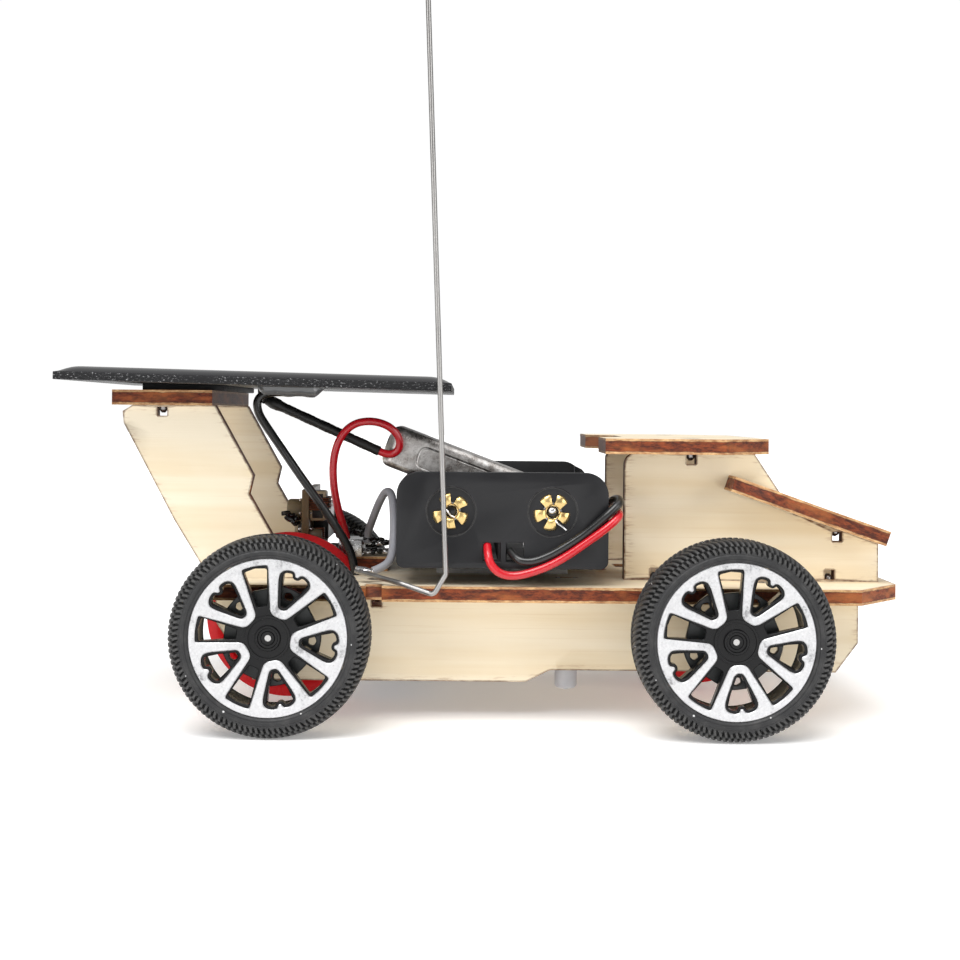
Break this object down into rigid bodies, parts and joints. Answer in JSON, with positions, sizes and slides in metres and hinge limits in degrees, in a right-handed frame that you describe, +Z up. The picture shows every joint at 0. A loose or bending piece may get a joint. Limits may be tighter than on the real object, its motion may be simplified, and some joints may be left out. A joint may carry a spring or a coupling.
{
  "type": "solar buggy kit",
  "caption": "Wooden solar buggy kit: plywood body and wing-mounted solar panel, battery tray, whip antenna, geared rear axle and rolling wheels.",
  "frame": {"origin": "on the ground, under the middle of the whole kit", "axes": "+X forwards, +Y to the buggy's left, +Z up"},
  "size_m": [0.1316, 0.08, 0.17],
  "materials": {
    "plywood": "matt, laser-cut edges charred brown",
    "black_foam": "matt foam tape",
    "panel_black": "speckled black laminate",
    "silicon": "dark blue cells under the resin",
    "panel_resin": "clear glossy resin over black",
    "screw_steel": "bright",
    "black_plastic": "fine satin moulding",
    "grey_foam": "light grey foam tape",
    "brass": "bright",
    "nickel": "nickel plated, mottled",
    "circuit_board": "brown phenolic laminate",
    "components": "moulded electronic parts",
    "phenolic": "brown phenolic",
    "motor_steel": "zinc plated",
    "milky_plastic": "translucent milky",
    "spring_steel": "drawn wire",
    "black_sleeve": "heat-shrink sleeve",
    "black_wire": "PVC insulation",
    "red_wire": "PVC insulation",
    "grey_wire": "PVC insulation",
    "white_plastic": "natural nylon",
    "red_plastic": "moulded",
    "rim_plastic": "black moulding with a bright plated face",
    "tyre": "black tyre rubber, block tread"
  },
  "bodies": {
    "chassis": {"deck": "plywood", "right_skirt": "plywood", "left_skirt": "plywood", "right_post": "plywood", "left_post": "plywood", "wing_board": "plywood", "wing_tape": "black_foam", "panel_board": "panel_black", "solar_cells": "silicon", "panel_resin": "panel_resin", "right_cabin_plate": "plywood", "left_cabin_plate": "plywood", "roof": "plywood", "hood": "plywood", "screws": "screw_steel", "battery_holder": "black_plastic", "holder_tape": "grey_foam", "contact_rivets": "brass", "contact_plates": "nickel", "contact_springs": "nickel", "buffer_cell": "nickel", "receiver_board": "circuit_board", "receiver_parts": "components", "switch_pad": "plywood", "switch_shell": "nickel", "switch_base": "phenolic", "switch_lugs": "nickel", "motor_can": "motor_steel", "motor_cap": "black_plastic", "motor_terminals": "brass", "motor_tape": "grey_foam", "lamp": "milky_plastic", "lamp_legs": "nickel", "antenna": "spring_steel", "diode_sleeve": "black_sleeve", "panel_joint": "black_sleeve", "panel_lead_black": "black_wire", "panel_lead_red": "red_wire", "receiver_lead_grey": "grey_wire", "battery_lead_red": "red_wire", "battery_lead_black": "black_wire"},
    "rear_wheelset": {"rear_axle": "screw_steel", "rear_gear": "red_plastic", "rear_spacers": "white_plastic", "rear_right_rim": "rim_plastic", "rear_left_rim": "rim_plastic", "rear_right_tyre": "tyre", "rear_left_tyre": "tyre"},
    "front_wheelset": {"front_axle": "screw_steel", "front_gear": "red_plastic", "front_spacers": "white_plastic", "front_right_rim": "rim_plastic", "front_left_rim": "rim_plastic", "front_right_tyre": "tyre", "front_left_tyre": "tyre"},
    "motor_rotor": {"motor_rotor": "motor_steel", "motor_pinion": "white_plastic"},
    "switch_slider": {"switch_slider": "black_plastic"}
  },
  "joints": [
    {"name": "rear_axle_spin", "type": "hinge", "parent": "chassis", "child": "rear_wheelset", "pos_m": [-0.0314, 0, 0.015], "axis": [0, 1, 0], "continuous": true},
    {"name": "front_axle_spin", "type": "hinge", "parent": "chassis", "child": "front_wheelset", "pos_m": [0.0375, 0, 0.015], "axis": [0, 1, 0], "continuous": true},
    {"name": "motor_spin", "type": "hinge", "parent": "chassis", "child": "motor_rotor", "pos_m": [-0.01569, 0, 0.0115], "axis": [0, 1, 0], "continuous": true},
    {"name": "switch_slide", "type": "slide", "parent": "chassis", "child": "switch_slider", "axis": [0, 1, 0], "range_m": [0, 0.002]}
  ],
  "couplings": [
    {"joint": "motor_spin", "follows": "rear_axle_spin", "ratio": -4.3333}
  ]
}
